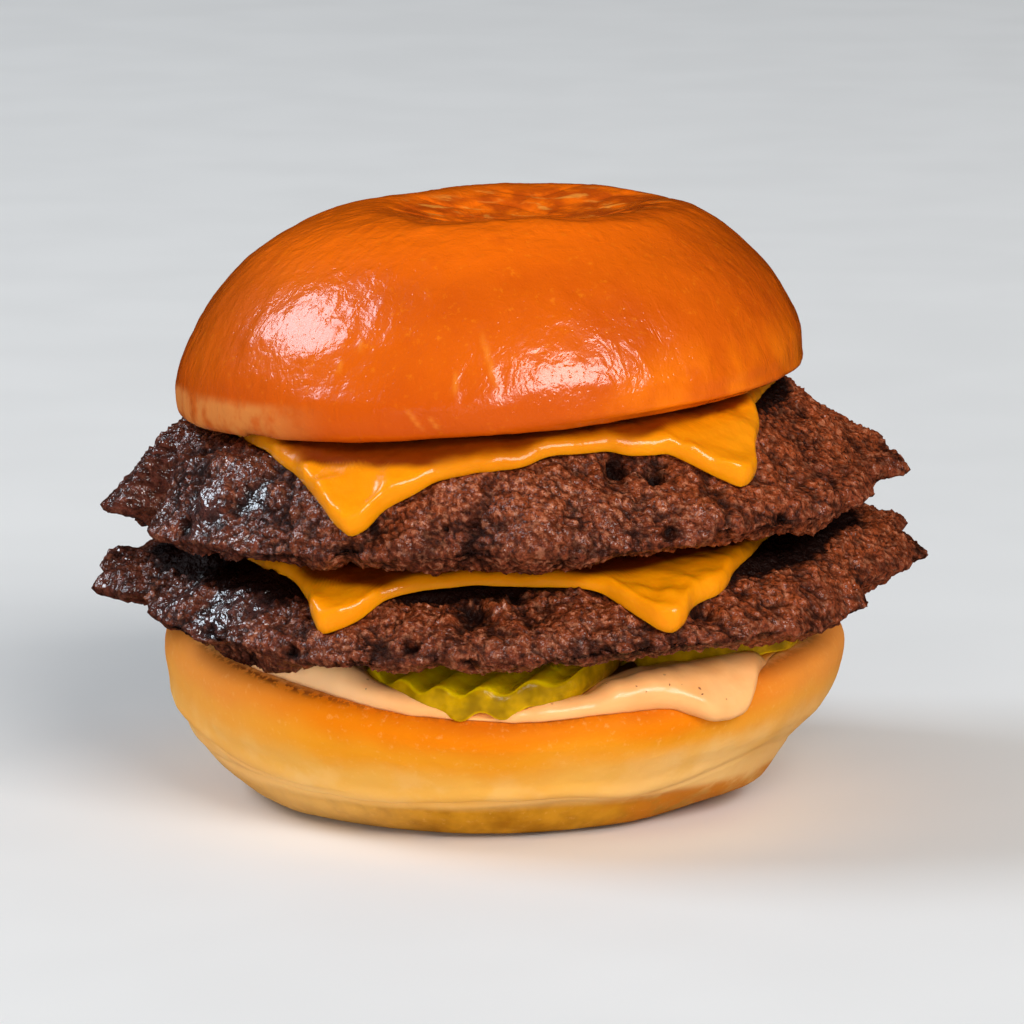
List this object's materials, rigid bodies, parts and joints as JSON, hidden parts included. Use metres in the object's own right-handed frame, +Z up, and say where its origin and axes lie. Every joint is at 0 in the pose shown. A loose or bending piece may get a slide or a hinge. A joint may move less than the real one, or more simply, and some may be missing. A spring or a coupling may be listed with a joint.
{
  "type": "smash burger",
  "caption": "Stacked burger with a glazed soft bun, loose thin-edged patties, melted cheese slices, crinkle-cut pickle slices and a creamy sauce.",
  "frame": {"origin": "on the flat underside of the lower bun, below the middle of the whole burger's outline", "axes": "+X to the right of the front that the reference shows, +Y from the front to the back, +Z up"},
  "size_m": [0.1294, 0.1148, 0.091],
  "materials": {
    "crown_bread": "glazed orange-brown crust",
    "heel_bread": "soft pale crust, golden near the cut edge",
    "patty": "dark browned coarse meat with a wet sheen",
    "cheese": "smooth melted orange-yellow cheese",
    "pickle": "wet translucent green-yellow flesh",
    "sauce": "creamy peach sauce with fine flecks"
  },
  "bodies": {
    "root": {"heel": "heel_bread", "sauce": "sauce", "pickle_1": "pickle", "pickle_2": "pickle", "pickle_3": "pickle", "pickle_4": "pickle", "patty_lower": "patty", "cheese_lower": "cheese", "patty_upper": "patty", "cheese_upper": "cheese", "crown": "crown_bread"}
  },
  "joints": []
}
